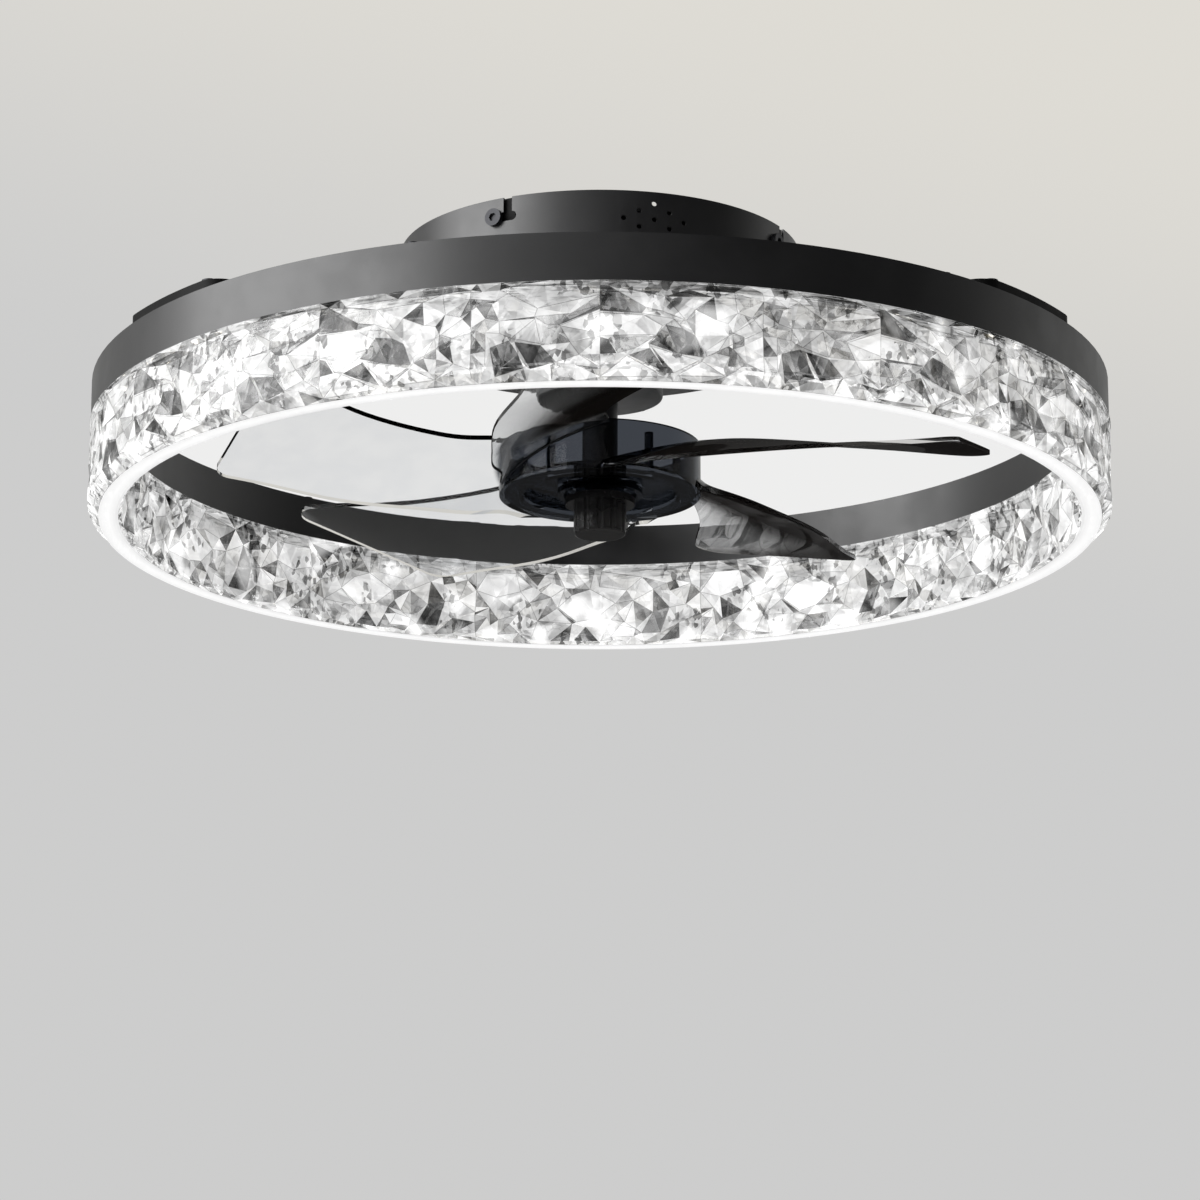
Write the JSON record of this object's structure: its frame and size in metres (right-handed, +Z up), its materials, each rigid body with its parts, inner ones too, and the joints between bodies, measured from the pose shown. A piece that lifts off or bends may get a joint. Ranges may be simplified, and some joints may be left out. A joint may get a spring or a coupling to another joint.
{
  "type": "ceiling fan with light ring",
  "caption": "Low-profile ceiling fan: forward-swept smoked blades under a round canopy, inside a black ring with a faceted clear light ring.",
  "frame": {"origin": "centre of the ceiling plane, where the fan's axis meets the top of the ceiling bracket", "axes": "+Z up into the ceiling along the fan's axis, -Y towards the picture's viewer, +X to the viewer's right"},
  "size_m": [0.5, 0.5, 0.1437],
  "materials": {
    "black_powder_coat": "satin black powder coat",
    "pressed_steel": "galvanised sheet steel",
    "zinc_steel": "zinc plated",
    "black_oxide_steel": "black oxide",
    "white_housing": "moulded plastic, fine grain",
    "circuit_board": "solder mask",
    "components": "moulded component bodies",
    "brass_terminals": "plain brass",
    "cable_sheath": "matte cable sheath",
    "rubber_grommet": "matte rubber",
    "black_nylon": "moulded nylon",
    "clear_crystal": "clear moulded acrylic, faceted",
    "led_board": "white solder mask",
    "led_light": "white light chips",
    "lamination_steel": "stacked laminations",
    "copper_winding": "enamelled copper wire",
    "bearing_steel": "ground and polished",
    "magnet": "sintered magnet",
    "smoked_acrylic": "smoked translucent acrylic, polished",
    "smoked_nylon": "smoked dark plastic"
  },
  "bodies": {
    "fixture": {"ceiling_bracket": "black_powder_coat", "canopy": "black_powder_coat", "canopy_screws": "black_oxide_steel", "chassis_plate": "pressed_steel", "controller_tray": "white_housing", "controller_lid": "white_housing", "controller_board": "circuit_board", "board_components": "components", "controller_screws": "zinc_steel", "terminal_block": "white_housing", "terminal_screws": "brass_terminals", "terminal_mount_screws": "zinc_steel", "earth_screw": "brass_terminals", "supply_lead": "cable_sheath", "motor_lead": "cable_sheath", "ring_lead": "cable_sheath", "lead_grommet": "rubber_grommet", "lead_clips": "black_nylon", "arm_left": "black_powder_coat", "arm_right": "black_powder_coat", "arm_rear": "black_powder_coat", "arm_bolts": "black_oxide_steel", "arm_nuts": "zinc_steel", "ring_bolts": "black_oxide_steel", "clinch_nuts": "zinc_steel", "ring_frame": "black_powder_coat", "crystal_ring": "clear_crystal", "crystal_screws": "black_oxide_steel", "led_posts": "black_nylon", "led_boards": "led_board", "led_chips": "led_light", "led_screws": "zinc_steel", "motor_housing": "black_powder_coat", "motor_end_cap": "black_powder_coat", "end_cap_screws": "black_oxide_steel", "motor_screws": "zinc_steel", "stator_core": "lamination_steel", "stator_windings": "copper_winding", "bearing_outer_rings": "bearing_steel"},
    "rotor": {"motor_shaft": "bearing_steel", "rotor_core": "lamination_steel", "rotor_magnets": "magnet", "bearing_inner_rings": "bearing_steel", "bearing_balls": "bearing_steel", "drive_sleeve": "black_nylon", "drive_pin": "bearing_steel", "blade_wheel": "smoked_acrylic", "clamp_washer": "zinc_steel", "lock_nut": "smoked_nylon"}
  },
  "joints": [
    {"name": "fan_spin", "type": "hinge", "parent": "fixture", "child": "rotor", "pos_m": [0, 0, -0.1], "axis": [0, 0, 1], "continuous": true}
  ]
}
